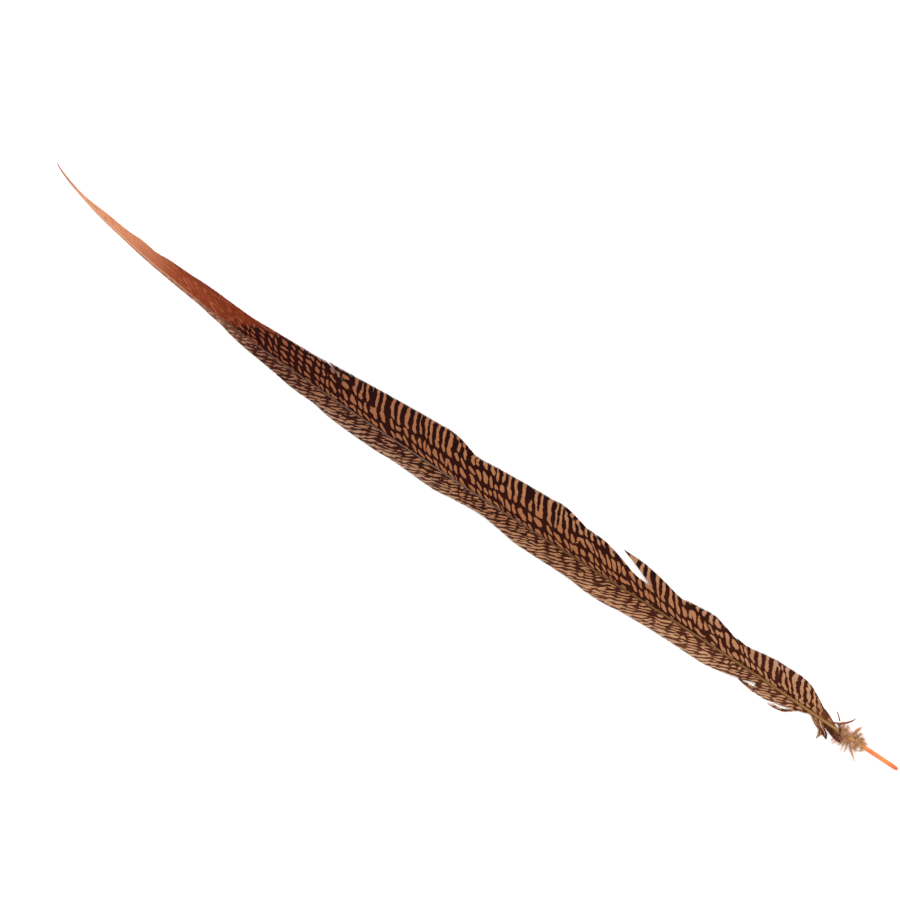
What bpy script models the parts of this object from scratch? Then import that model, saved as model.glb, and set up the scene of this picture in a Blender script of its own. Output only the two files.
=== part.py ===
"""Tail feather of a golden pheasant, lying on a flat surface with its upper side up.

Every outline is given in feather coordinates, in millimetres: s runs along the middle of the
shaft from the tip of the feather to the end of the quill, y runs across it, and z is the
height over the surface. In the model, +X runs from the tip to the quill, +Y towards the wide
vane and +Z up, and the origin is under the middle of the feather.
"""
import math

import bmesh
import bpy
import numpy as np
from mathutils import Vector

MM = 0.001

# Shaft: the straight span from tip to quill end, and how it bows sideways, as (x, y).
SHAFT_BOW = [(0, 0), (5.5, -2.4), (13, -4.9), (26, -8), (43, -11.3), (62, -13.6), (84, -15.8),
             (108, -17.3), (139, -19), (184, -19.5), (233, -18.7), (295, -16.7), (361, -14),
             (429, -10.2), (498, -6.2), (561, -3.6), (608, -2.2), (637, -0.8), (657.5, 0)]
SHAFT_LENGTH = 660.0
# Half the shaft's width, and how high its underside stands over the surface, as (s, value).
SHAFT_HALF_WIDTH = [(0, 0.15), (60, 0.3), (130, 0.42), (200, 0.5), (320, 0.6), (420, 0.72),
                    (510, 0.9), (570, 1.05), (612, 1.3), (640, 1.42), (652, 1.36), (658, 1.12),
                    (660, 0.6)]
SHAFT_LIFT = [(0, 0), (60, 1.1), (130, 2.7), (220, 4.4), (320, 5.2), (420, 4.8), (510, 3),
              (570, 1), (612, 0), (660, 0)]
SHAFT_SIDES = 12
SHAFT_RING_STEP = 14.0
# The calamus is bare and round past this s; before it the rachis is deeper than wide and has
# a groove along its underside.
CALAMUS_START = 612.0
RACHIS_DEPTH = 1.12
GROOVE_DEPTH = 0.35

# Vanes: thickness of the web of barbs, and the gap it keeps to the shaft and other webs.
WEB_THICKNESS = 0.4
GAP = 0.3
# Distance from the shaft at which each vane would come down to the surface, as (s, y).
WIDE_REACH = [(0, 1), (64, 6), (127, 12.5), (200, 17.5), (260, 23), (310, 25.5), (400, 25),
              (450, 23), (510, 19), (570, 16.5), (600, 12), (615, 8)]
NARROW_REACH = [(0, 0.8), (64, 1), (127, 2.4), (165, 6.5), (220, 10.5), (255, 12.5), (350, 12.8),
                (430, 14.5), (520, 13), (560, 11), (600, 8)]
RIM_HEIGHT = 0.25
RIM_WAVE = 0.12
WIDE_WAVE_LENGTH = 97.0
NARROW_WAVE_LENGTH = 71.0
DROOP_POWER = 1.5
BARB_BOW = 0.35
COLUMN_STEP = 8.0
BARB_ROWS = (0, 0.1, 0.3, 0.55, 0.8, 1)

# Webs: guide barbs as (s of the root, s of the tip, y of the tip), y measured outwards.
WIDE_TIP_BARBS = [(18, 10, 0.9), (35.5, 25.5, 1.5), (66.5, 44.5, 4.2), (88, 63.5, 5.4),
                  (105.5, 76, 6.9), (111, 82.5, 6.8), (128.5, 95, 8.6), (143.5, 108, 9.6),
                  (160, 120.5, 11.1), (174.5, 133, 12.1), (195, 155.5, 12.4), (220, 176.5, 14.2),
                  (245.5, 198.5, 16), (262, 213, 17.1)]
WIDE_MIDDLE_BARBS = [(263.5, 214.5, 18), (273.5, 223.5, 18.7), (308, 255, 21.8),
                     (346.5, 289, 24.4), (366.5, 308.5, 25.4), (369.5, 313, 24.7),
                     (371.5, 318.5, 23), (374.5, 326, 20.7), (392, 341, 21.8),
                     (416.5, 363.5, 23.4), (440, 386.5, 24.4), (448.5, 394, 24.8),
                     (451.5, 399.5, 23.8), (453.5, 406.5, 21.8), (455.5, 411, 20.4),
                     (466.5, 423, 20), (473, 434, 17.7), (478.5, 450, 12.6), (482.5, 457.5, 11.3)]
WIDE_BASE_BARBS = [(485, 436.5, 21.8), (500, 450.5, 21.6), (511, 467.5, 19), (521.5, 485.5, 15),
                   (532, 494.5, 15.9), (546.5, 508, 17.4), (552, 515.5, 16.6),
                   (557.5, 528.5, 12.7), (564.5, 536.5, 12.4), (582, 553, 14.8),
                   (600, 574, 15.9), (604.5, 583, 14.9), (607.5, 590.5, 11.4), (609, 594.5, 7.9),
                   (611, 602, 6.2), (613.5, 608.5, 2.6)]
NARROW_MAIN_BARBS = [(92, 76, 1.3), (113, 95, 1.6), (132, 114, 1.9), (141, 127, 1.7),
                     (156, 136.5, 2.5), (167, 146, 3.1), (176.5, 152.5, 4.4), (192, 165, 5.9),
                     (217, 188, 7.5), (242, 210, 9.4), (253, 221.5, 9.4), (266.5, 233, 11),
                     (290.5, 255, 12.1), (307.5, 272, 12.3), (316.5, 283.5, 11.5),
                     (351, 317, 12.3), (357, 330, 10.5), (373, 350, 9.2), (388, 363.5, 10.5),
                     (411, 380.5, 12.7), (444.5, 414, 13), (470.5, 437, 14.7), (480, 448, 14.5),
                     (485, 455, 13.4), (514.5, 488, 12.6), (544, 518, 12.7), (549.5, 526.5, 11.6),
                     (554, 543, 8.1), (556.5, 550, 3.6)]
NARROW_BASE_BARBS = [(558.5, 554.5, 3.2), (561, 554.5, 5.3), (564.5, 554.5, 7.9),
                     (570, 555, 9.3), (579, 556.5, 10.1), (584, 562.5, 10.1), (588, 571.5, 8.4),
                     (591, 579, 6.4), (593, 585, 4.7), (595.5, 592.5, 2.2)]

# Loose pieces: centre lines from root to tip as (s, y, z, width), with y of either sign.
SHORT_STRAND = [(553.5, -9, 1.4, 1.4), (549, -8.6, 1.3, 1.1), (543.5, -8.1, 1.2, 0.4)]
HOOKED_STRAND = [(582, -7, 1.2, 1), (579.5, -8.6, 1.2, 1.2), (576.5, -9.6, 1.2, 1),
                 (571.5, -10.2, 1.2, 1.4), (567, -10.9, 1.2, 0.4)]
CURLED_BARBS = [(597.5, -2, 1.8, 0.6), (600, -3.3, 1.6, 2.2), (604, -4.9, 1.3, 3.2),
                (607.5, -7.6, 1, 4.4), (609.5, -11.2, 0.8, 5)]
BROWN_BARBS = [(604.5, -2, 2, 0.4), (610, -3, 2.9, 1.8), (616, -4.2, 3.8, 2.4),
               (621, -5.2, 4.2, 1.2)]
LONG_STRAY = [(612.5, 3, 2.8, 0.9), (616, 6.8, 4.2, 0.8), (618.5, 10.2, 5, 0.6),
              (619.7, 13.3, 5.5, 0.4)]
SHORT_STRAY = [(612.5, 5.6, 1.6, 0.5), (609.3, 8.4, 1.8, 0.5), (607, 10.2, 2, 0.4)]
CURL_NOTCH = 0.25
STRAND_STEPS = 8

# Down: the middle and the half sizes of each lobe as (s, y, z).
WIDE_DOWN = ((625.5, 5.9, 2), (10.5, 3.9, 1.8))
NARROW_DOWN = ((625, -7, 1.95), (12, 5, 1.7))
DOWN_LUMP = 0.08

# Colours as linear RGB.
QUILL_COLOUR = (0.78, 0.33, 0.12)
BARRED_COLOUR = (0.19, 0.09, 0.045)
RUST_COLOUR = (0.31, 0.09, 0.04)
BROWN_COLOUR = (0.09, 0.035, 0.016)
DOWN_COLOUR = (0.34, 0.2, 0.12)


def smooth(points, x):
    """Value at x of a smooth curve through (x, value) points that never overshoots them."""
    px, py = np.array(points, float).T
    width = np.diff(px)
    rise = np.diff(py) / width
    slope = np.concatenate(([rise[0]], np.zeros(len(px) - 2), [rise[-1]]))
    for i in range(1, len(px) - 1):
        if rise[i - 1] * rise[i] > 0:
            slope[i] = 2 / (1 / rise[i - 1] + 1 / rise[i])
    x = np.clip(x, px[0], px[-1])
    i = np.clip(np.searchsorted(px, x, side="right") - 1, 0, len(px) - 2)
    t = (x - px[i]) / width[i]
    low = (1 + 2 * t) * (1 - t) ** 2 * py[i] + t * (1 - t) ** 2 * width[i] * slope[i]
    high = t * t * (3 - 2 * t) * py[i + 1] - t * t * (1 - t) * width[i] * slope[i + 1]
    return low + high


def shaft_line():
    """The shaft's middle line as rows of arc length, x, y and heading."""
    x = np.linspace(0, SHAFT_BOW[-1][0], 1316)
    y = smooth(SHAFT_BOW, x)
    steps = np.hypot(np.diff(x), np.diff(y))
    arc = np.concatenate(([0], np.cumsum(steps)))
    arc *= SHAFT_LENGTH / arc[-1]
    return arc, x, y, np.arctan2(np.gradient(y), np.gradient(x))


ARC, LINE_X, LINE_Y, HEADING = shaft_line()


def place(s, y, z):
    """A point of the model, in metres, from feather coordinates in millimetres."""
    heading = np.interp(s, ARC, HEADING)
    px = np.interp(s, ARC, LINE_X) - y * np.sin(heading)
    py = np.interp(s, ARC, LINE_Y) + y * np.cos(heading)
    return Vector((px * MM, py * MM, z * MM))


def shaft_depth(s):
    """Half the shaft's height at s."""
    squareness = np.clip((CALAMUS_START - s) / 60, 0, 1)
    return smooth(SHAFT_HALF_WIDTH, s) * (1 + (RACHIS_DEPTH - 1) * squareness)


def shaft_middle(s):
    """Height of the shaft's middle line; its underside is cut off flat below it."""
    return smooth(SHAFT_LIFT, s) + shaft_depth(s) * math.sin(math.radians(60))


def vane_height(s, y, side):
    """Height of a vane's web: it leaves the shaft near its top and droops to the surface."""
    reach = smooth(WIDE_REACH if side > 0 else NARROW_REACH, s)
    wave_length = WIDE_WAVE_LENGTH if side > 0 else NARROW_WAVE_LENGTH
    start = shaft_middle(s) + 0.25 * shaft_depth(s)
    lifted = RIM_WAVE * (1 + math.sin(2 * math.pi * s / wave_length))
    rim = RIM_HEIGHT + (start - RIM_HEIGHT) * lifted
    across = min(1, y / reach) ** DROOP_POWER
    return start + (rim - start) * across


def new_material(name, colour, roughness):
    material = bpy.data.materials.new(name)
    material.use_nodes = True
    shader = material.node_tree.nodes["Principled BSDF"]
    shader.inputs["Base Color"].default_value = (*colour, 1)
    shader.inputs["Roughness"].default_value = roughness
    shader.inputs["Metallic"].default_value = 0
    return material


def add_object(name, mesh, collection, colour, roughness):
    mesh.materials.append(new_material(name + "_finish", colour, roughness))
    mesh.shade_smooth()
    piece = bpy.data.objects.new(name, mesh)
    collection.objects.link(piece)
    return piece


def lattice_mesh(name, rows):
    """An open sheet through rows of points, all of the same length."""
    sheet = bmesh.new()
    grid = [[sheet.verts.new(point) for point in row] for row in rows]
    for row, following in zip(grid, grid[1:]):
        for i in range(len(row) - 1):
            sheet.faces.new((row[i], row[i + 1], following[i + 1], following[i]))
    mesh = bpy.data.meshes.new(name)
    sheet.to_mesh(mesh)
    sheet.free()
    return mesh


def add_sheet(name, rows, collection, colour, roughness):
    """A thin solid sheet, WEB_THICKNESS thick, with its middle at the rows of points."""
    piece = add_object(name, lattice_mesh(name, rows), collection, colour, roughness)
    shell = piece.modifiers.new("Thickness", "SOLIDIFY")
    shell.thickness = WEB_THICKNESS * MM
    shell.offset = 0
    return piece


def add_shaft(collection):
    """Calamus and rachis in one: twelve-sided rings along the middle line, closed by caps."""
    ring_count = round(SHAFT_LENGTH / SHAFT_RING_STEP)
    stations = list(np.linspace(0, 652, ring_count)) + [655.5, 658, 659.4, 660]
    body = bmesh.new()
    rings = []
    for s in stations:
        half_width = smooth(SHAFT_HALF_WIDTH, s)
        depth = shaft_depth(s)
        groove = GROOVE_DEPTH * np.clip((CALAMUS_START - s) / 30, 0, 1)
        ring = []
        for k in range(SHAFT_SIDES):
            angle = 2 * math.pi * k / SHAFT_SIDES
            rise = max(math.sin(angle), -math.sin(math.radians(60)))
            if math.sin(angle) < -0.99:
                rise += groove
            height = shaft_middle(s) + depth * rise
            ring.append(body.verts.new(place(s, half_width * math.cos(angle), height)))
        rings.append(ring)
    for ring, following in zip(rings, rings[1:]):
        for k in range(SHAFT_SIDES):
            after = (k + 1) % SHAFT_SIDES
            body.faces.new((ring[k], ring[after], following[after], following[k]))
    body.faces.new(rings[0])
    body.faces.new(rings[-1])
    bmesh.ops.recalc_face_normals(body, faces=body.faces)
    mesh = bpy.data.meshes.new("shaft")
    body.to_mesh(mesh)
    body.free()
    return add_object("shaft", mesh, collection, QUILL_COLOUR, 0.4)


def barb_roots(guides):
    """Roots for a web's columns: each stretch between guide barbs is divided evenly."""
    roots = []
    for (start, *_), (end, *_) in zip(guides, guides[1:]):
        count = math.ceil((end - start) / COLUMN_STEP)
        roots.extend(np.linspace(start, end, count, endpoint=False))
    return roots + [guides[-1][0]]


def barb(root, guides, side):
    """Points along one barb, from beside the shaft to the barb's tip on the vane's rim."""
    tip_s = smooth([(guide[0], guide[1]) for guide in guides], root)
    tip_y = smooth([(guide[0], guide[2]) for guide in guides], root)
    root_y = smooth(SHAFT_HALF_WIDTH, root) + GAP
    points = []
    for v in BARB_ROWS:
        s = root + (tip_s - root) * v
        y = root_y + (tip_y - root_y) * (v + BARB_BOW * v * (1 - v))
        points.append(place(s, side * y, vane_height(s, y, side)))
    return points


def add_web(name, guides, side, collection, colour):
    """A web of barbs hooked together, from the shaft to the rim of its vane."""
    rows = [barb(root, guides, side) for root in barb_roots(guides)]
    return add_sheet(name, rows, collection, colour, 0.6)


def add_strand(name, line, collection, colour, notch=0.0):
    """A flat strand along a centre line; a notch parts its end into two points."""
    knots = np.linspace(0, 1, len(line))
    tracks = [list(zip(knots, values)) for values in zip(*line)]
    across = (-0.5, 0, 0.5) if notch else (-0.5, 0.5)
    rows = []
    for lane in across:
        end = 1 - notch * (1 - 2 * abs(lane))
        row = []
        for v in np.linspace(0, end, STRAND_STEPS + 1):
            s, y, z, width = [smooth(track, v) for track in tracks]
            ahead = smooth(tracks[0], v + 0.01) - smooth(tracks[0], v - 0.01)
            aside = smooth(tracks[1], v + 0.01) - smooth(tracks[1], v - 0.01)
            length = math.hypot(ahead, aside)
            shift = lane * width / length
            row.append(place(s - shift * aside, y + shift * ahead, z))
        rows.append(row)
    return add_sheet(name, rows, collection, colour, 0.6)


def add_down(name, lobe, collection):
    """A lumpy closed lobe that reaches as far as the tips of one side's down."""
    (mid_s, mid_y, mid_z), (half_s, half_y, half_z) = lobe
    ball = bmesh.new()
    bmesh.ops.create_icosphere(ball, subdivisions=3, radius=1)
    for vert in ball.verts:
        x, y, z = vert.co
        lump = 1 - DOWN_LUMP * (1 + math.sin(5 * x + 2) * math.cos(7 * y))
        vert.co = place(mid_s + half_s * x * lump, mid_y + half_y * y * lump,
                        mid_z + half_z * z * lump)
    mesh = bpy.data.meshes.new(name)
    ball.to_mesh(mesh)
    ball.free()
    return add_object(name, mesh, collection, DOWN_COLOUR, 0.9)


def centre_on_origin(pieces):
    """Move every piece alike, so that the origin is under the middle of the feather."""
    bpy.context.view_layer.update()
    scene_graph = bpy.context.evaluated_depsgraph_get()
    corners = []
    for piece in pieces:
        corners.extend(Vector(corner) for corner in piece.evaluated_get(scene_graph).bound_box)
    low = [min(corner[axis] for corner in corners) for axis in range(3)]
    high = [max(corner[axis] for corner in corners) for axis in range(3)]
    shift = Vector((-(low[0] + high[0]) / 2, -(low[1] + high[1]) / 2, -low[2]))
    for piece in pieces:
        piece.location = shift


def main():
    for old in list(bpy.data.objects):
        bpy.data.objects.remove(old, do_unlink=True)
    feather = bpy.data.collections.new("pheasant_tail_feather")
    bpy.context.scene.collection.children.link(feather)
    pieces = [
        add_shaft(feather),
        add_web("wide_vane_tip", WIDE_TIP_BARBS, 1, feather, RUST_COLOUR),
        add_web("wide_vane_middle", WIDE_MIDDLE_BARBS, 1, feather, BARRED_COLOUR),
        add_web("wide_vane_base", WIDE_BASE_BARBS, 1, feather, BARRED_COLOUR),
        add_web("narrow_vane_main", NARROW_MAIN_BARBS, -1, feather, BARRED_COLOUR),
        add_web("narrow_vane_base", NARROW_BASE_BARBS, -1, feather, BARRED_COLOUR),
        add_strand("short_loose_strand", SHORT_STRAND, feather, BARRED_COLOUR),
        add_strand("hooked_loose_strand", HOOKED_STRAND, feather, BARRED_COLOUR),
        add_strand("curled_barbs", CURLED_BARBS, feather, BARRED_COLOUR, CURL_NOTCH),
        add_strand("brown_base_barbs", BROWN_BARBS, feather, BROWN_COLOUR),
        add_strand("long_stray_barb", LONG_STRAY, feather, BROWN_COLOUR),
        add_strand("short_stray_barb", SHORT_STRAY, feather, BROWN_COLOUR),
        add_down("wide_side_down", WIDE_DOWN, feather),
        add_down("narrow_side_down", NARROW_DOWN, feather),
    ]
    centre_on_origin(pieces)


main()
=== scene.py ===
"""Looks of a golden pheasant's tail feather, lying on a pale surface with its upper side up.

The frame holds the CAD model. Here a smooth shaft replaces its faceted one, separate barbs
replace its webs and strands, and fine filaments replace its lobes of down. Places are given in
feather coordinates, in millimetres, as in the CAD model: s runs along the shaft from the
feather's tip to the quill's end, y runs across it, positive on the wide side, and z is height.
"""
import math

import bmesh
import bpy
import numpy as np
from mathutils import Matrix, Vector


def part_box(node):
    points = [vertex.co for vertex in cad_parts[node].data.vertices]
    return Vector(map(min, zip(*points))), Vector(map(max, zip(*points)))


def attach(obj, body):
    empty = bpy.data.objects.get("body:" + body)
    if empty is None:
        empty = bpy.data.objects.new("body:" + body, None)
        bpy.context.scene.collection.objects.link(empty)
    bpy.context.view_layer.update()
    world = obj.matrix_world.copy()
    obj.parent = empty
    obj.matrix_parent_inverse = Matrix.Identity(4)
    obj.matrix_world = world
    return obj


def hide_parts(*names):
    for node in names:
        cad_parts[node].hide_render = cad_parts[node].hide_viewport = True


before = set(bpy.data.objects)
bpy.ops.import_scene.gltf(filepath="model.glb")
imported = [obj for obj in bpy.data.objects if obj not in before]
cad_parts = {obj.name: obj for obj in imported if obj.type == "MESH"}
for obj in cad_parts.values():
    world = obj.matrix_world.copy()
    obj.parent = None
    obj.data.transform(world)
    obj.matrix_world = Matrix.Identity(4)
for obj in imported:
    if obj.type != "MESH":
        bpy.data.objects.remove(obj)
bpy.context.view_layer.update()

MM = 0.001
TURN = 2 * math.pi
SEED = 20

# Shaft, as in the CAD model, except that the quill's end is blunter.
SHAFT_BOW = [
    (0, 0), (5.5, -2.4), (13, -4.9), (26, -8), (43, -11.3), (62, -13.6), (84, -15.8),
    (108, -17.3), (139, -19), (184, -19.5), (233, -18.7), (295, -16.7), (361, -14), (429, -10.2),
    (498, -6.2), (561, -3.6), (608, -2.2), (637, -0.8), (657.5, 0)]
SHAFT_LENGTH = 660.0
SHAFT_HALF_WIDTH = [
    (0, 0.15), (60, 0.3), (130, 0.42), (200, 0.5), (320, 0.6), (420, 0.72), (510, 0.9),
    (570, 1.05), (612, 1.3), (640, 1.42), (652, 1.4), (657, 1.34), (659.4, 1.05), (660, 0.75)]
SHAFT_LIFT = [
    (0, 0), (60, 1.1), (130, 2.7), (220, 4.4), (320, 5.2), (420, 4.8), (510, 3), (570, 1),
    (612, 0), (660, 0)]
SHAFT_SIDES = 28
SHAFT_RING_STEP = 2.0
# Where the rings come closer for the rounded end, and how far past it they lie.
END_START = 655.0
END_RINGS = (0.8, 1.8, 2.8, 4.4, 5.0)
SHAFT_BAKE_ROWS = 6
CALAMUS_START = 612.0
RACHIS_DEPTH = 1.12
GROOVE_DEPTH = 0.35
GROOVE_FADE = 30.0
SQUARENESS_FADE = 60.0
FLAT_BELOW = math.sin(math.radians(60))
BOW_POINTS = 1316
OUTLINE_POINTS = 1321

# Vanes, as in the CAD model, except that barbs are rooted in the shaft. A reach is how far out
# a vane would come down to the surface, as (s, y).
ROOT_DEPTH = 0.2
ROOT_RISE = 0.25
WIDE_REACH = [
    (0, 1), (64, 6), (127, 12.5), (200, 17.5), (260, 23), (310, 25.5), (400, 25), (450, 23),
    (510, 19), (570, 16.5), (600, 12), (615, 8)]
NARROW_REACH = [
    (0, 0.8), (64, 1), (127, 2.4), (165, 6.5), (220, 10.5), (255, 12.5), (350, 12.8), (430, 14.5),
    (520, 13), (560, 11), (600, 8)]
RIM_HEIGHT = 0.25
RIM_WAVE = 0.12
WIDE_WAVE_LENGTH = 97.0
NARROW_WAVE_LENGTH = 71.0
DROOP_POWER = 1.5
BARB_BOW = 0.35

# Webs: guide barbs as (s of the root, s of the tip, y of the tip), y measured outwards.
WIDE_TIP_BARBS = [
    (2, 0.3, 0.4), (9, 5, 0.6), (18, 10, 0.9), (35.5, 25.5, 1.5), (66.5, 44.5, 4.2),
    (88, 63.5, 5.4), (105.5, 76, 6.9), (111, 82.5, 6.8), (128.5, 95, 8.6), (143.5, 108, 9.6),
    (160, 120.5, 11.1), (174.5, 133, 12.1), (195, 155.5, 12.4), (220, 176.5, 14.2),
    (245.5, 198.5, 16), (262, 213, 17.1), (263, 214, 17.8)]
WIDE_MIDDLE_BARBS = [
    (263.3, 214.5, 18), (273.5, 223.5, 18.7), (308, 255, 21.8), (346.5, 289, 24.4),
    (366.5, 308.5, 25.4), (369.5, 313, 24.7), (371.5, 318.5, 23), (374.5, 326, 20.7),
    (392, 341, 21.8), (416.5, 363.5, 23.4), (440, 386.5, 24.4), (448.5, 394, 24.8),
    (451.5, 399.5, 23.8), (453.5, 406.5, 21.8), (455.5, 411, 20.4), (466.5, 423, 20),
    (473, 434, 17.7), (478.5, 450, 12.6), (482.5, 457.5, 11.3), (483.8, 461, 11.5),
    (484.8, 464, 11.9)]
WIDE_BASE_BARBS = [
    (484.9, 436.5, 21.8), (500, 450.5, 21.6), (511, 467.5, 19), (521.5, 485.5, 15),
    (532, 494.5, 15.9), (546.5, 508, 17.4), (552, 515.5, 16.6), (557.5, 528.5, 12.7),
    (564.5, 536.5, 12.4), (582, 553, 14.8), (600, 574, 15.9), (604.5, 583, 14.9),
    (607.5, 590.5, 11.4), (609, 594.5, 7.9), (611, 602, 6.2), (613.5, 608.5, 2.6)]
NARROW_MAIN_BARBS = [
    (2, 0.3, 0.35), (40, 32, 0.6), (70, 58, 0.9), (92, 76, 1.3), (113, 95, 1.6), (132, 114, 1.9),
    (141, 127, 1.7), (156, 136.5, 2.5), (167, 146, 3.1), (176.5, 152.5, 4.4), (192, 165, 5.9),
    (217, 188, 7.5), (242, 210, 9.4), (253, 221.5, 9.4), (266.5, 233, 11), (290.5, 255, 12.1),
    (307.5, 272, 12.3), (316.5, 283.5, 11.5), (351, 317, 12.3), (357, 330, 10.5), (373, 350, 9.2),
    (388, 363.5, 10.5), (411, 380.5, 12.7), (444.5, 414, 13), (470.5, 437, 14.7),
    (480, 448, 14.5), (485, 455, 13.4), (514.5, 488, 12.6), (544, 518, 12.7),
    (549.5, 526.5, 11.6), (554, 543, 8.1), (556.5, 549, 6.3), (557.5, 552, 5.4),
    (558.2, 554, 4.8)]
NARROW_BASE_BARBS = [
    (558.5, 555.5, 2.8), (561, 554.5, 5.3), (564.5, 554.5, 7.9), (570, 555, 9.3),
    (579, 556.5, 10.1), (584, 562.5, 10.1), (588, 571.5, 8.4), (591, 579, 6.4), (593, 585, 4.7),
    (595.5, 592.5, 2.2)]

# Small partings of the rim, as (root s, opening at the rim, spread, sharpness).
SPLITS = {
    "wide_vane_tip": [(263.15, 3, 2, 11)],
    "wide_vane_middle": [(263.15, 3, 2, 11), (302, 0.7, 3, 7), (441, 1.5, 4, 8), (349, 0.6, 2, 10),
                         (397, 0.6, 3, 8)],
    "wide_vane_base": [(505, 0.8, 3, 6), (538, 0.7, 3, 8), (592, 1, 3, 5)],
    "narrow_vane_main": [(236, 0.6, 3, 7), (333, 0.8, 3, 7), (402, 0.6, 2, 7), (500, 0.7, 3, 6)]}
# Barbs pushed over their neighbours: (first root s, last root s, push, share of barb kept).
FOLDS = {
    "wide_vane_middle": [(362, 372, 3.4, 0.35), (443, 456, 4.8, 0.25), (459, 468, 3.2, 0.2)],
    "wide_vane_base": [(528, 541, 4.8, 0.15), (549, 560, 4, 0.2), (585, 596, 3.6, 0.15)],
    "narrow_vane_main": [(282, 290, 1.2, 0.4), (425, 434, 1.4, 0.4), (508, 518, 1.2, 0.4)]}
FOLD_LIFT = 0.35
FOLD_FLANK = 1.2
FOLD_CURVE = 1.3

# Barbs: the gap between their roots, and how much wider than the gap between neighbours they
# are. A taper is the share of a barb's length over which it narrows towards its tip.
BARB_SPACING = 0.6
BARB_OVERLAP = 1.35
WIDEST_GAP = 2.2
BARB_SEGMENTS = 20
BARB_DEPTH = 0.16
BARB_TILT = 0.05
TIP_TAPER = 0.07
STRAND_TAPER = 0.3
FAN_TAPER = 0.08
BLUNTNESS = 0.15
TAPER_CURVE = 0.7
CLUMP_BARBS = (4, 16)
CLUMP_LIFT = 0.22
BARB_SLIP = 0.22
TIP_JITTER = 0.25
SHORTEST_JITTERED = 8.0
WEB_ROWS = 2
BAKE_MARGIN = 0.02
SHAFT_BAKE_MARGIN = 0.03

# Loose pieces, close to the CAD model's: centre lines from root to tip as (s, y, z, width).
SHORT_STRAND = [
    (556.5, -8.5, 1.4, 3), (552, -8.4, 1.4, 2.2), (548, -8.2, 1.3, 1.4), (543, -7.9, 1.2, 0.5)]
HOOKED_STRAND = [
    (587, -3.4, 0.5, 0.8), (582.5, -6.6, 1, 1.2), (579.5, -8.6, 1.2, 1.5),
    (576.5, -9.6, 1.2, 1.6), (571.5, -10.2, 1.2, 1.7), (567, -10.9, 1.2, 0.5)]
CROSSING_BARBS = [
    (612.6, 3.4, 1.4, 1), (614.6, 1.9, 2.9, 1.2), (616, 0.2, 3.35, 1.4), (617.2, -1.6, 3, 1.6),
    (618.4, -4, 2.4, 1.2)]
LONG_STRAY = [
    (612.5, 3.6, 2.8, 1.1), (615.8, 6.6, 4.2, 1), (618.6, 10.2, 5, 0.7), (619.7, 13.3, 5.5, 0.4)]
STRAY_FOOT = [(608.2, 1.8, 2, 0.5), (610.3, 2.9, 2.2, 1), (613, 4, 2.6, 1.2), (615, 5.4, 3, 0.6)]
SHORT_STRAY = [(612.5, 5.6, 1.6, 0.5), (609.3, 8.4, 1.8, 0.5), (607, 10.2, 2, 0.4)]
# Fans: their two edges from root to tip as (s, y, z).
CURLED_EDGES = ([(594, -1, 1.7), (599.4, -4.4, 1.5), (604.2, -6.7, 1.1), (606.4, -12.4, 0.7)],
                [(603.8, -1, 1.9), (607.5, -4.2, 1.6), (610.2, -6, 1.3), (612.2, -9.4, 0.9)])
BROWN_EDGES = ([(605, -1.9, 2), (610, -1.9, 2.6), (616, -1.6, 3.4), (620.8, -3.4, 3.6)],
               [(605.6, -2.6, 2), (612, -4.8, 2.6), (616.5, -6, 3.2), (621.2, -5.8, 3.6)])
CURL_NOTCH = 0.2
CURLED_FOOT = [(602.5, -1.5, 1.7, 0.8), (608, -1.9, 2, 1.4), (615, -1.8, 2.3, 0.7)]
BUNDLE_SEGMENTS = 14
LOOSE_LIFT = 0.08
# How the marks of the webs run over loose pieces: their slant and distance from the shaft, and
# the share of its length that a fan counts as, which draws its marks out.
STREAK_LEAN = math.radians(22)
STREAK_START = -3
FAN_STREAKS = 0.3

# Down: tufts as (centre line of (s, y, z), number of filaments, spread).
WIDE_TUFTS = [
    ([(617, 1.2, 1.6), (614.8, 3, 2.6), (612.8, 4.2, 2)], 6, 0.7),
    ([(618, 1.2, 1.6), (616, 4.2, 3), (614.8, 6.2, 2)], 6, 0.8),
    ([(618.8, 1.2, 1.6), (618.6, 4.6, 3), (619, 6.6, 1.8)], 5, 0.8),
    ([(624, 1.2, 1.6), (624.4, 5.2, 3.2), (626.2, 9.8, 2)], 22, 0.85),
    ([(626.5, 1.2, 1.6), (627.6, 4.4, 3), (628.6, 7, 1.8)], 8, 0.6),
    ([(628, 1.2, 1.6), (629.6, 3, 2.6), (632.5, 4, 1.6)], 9, 0.6),
    ([(630, 1.2, 1.4), (633, 2.2, 2), (636, 2.8, 1.2)], 5, 0.35),
    ([(617, -0.8, 2.6), (620, 0.6, 3.4), (624, 1.8, 2.8)], 6, 0.8),
    ([(622, 1, 2.6), (618, 0.2, 3.4), (614.5, -1.6, 2.6)], 5, 0.7),
    ([(626, -0.6, 2.6), (629, 0.5, 3.2), (633, 1.6, 2.4)], 6, 0.7)]
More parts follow.
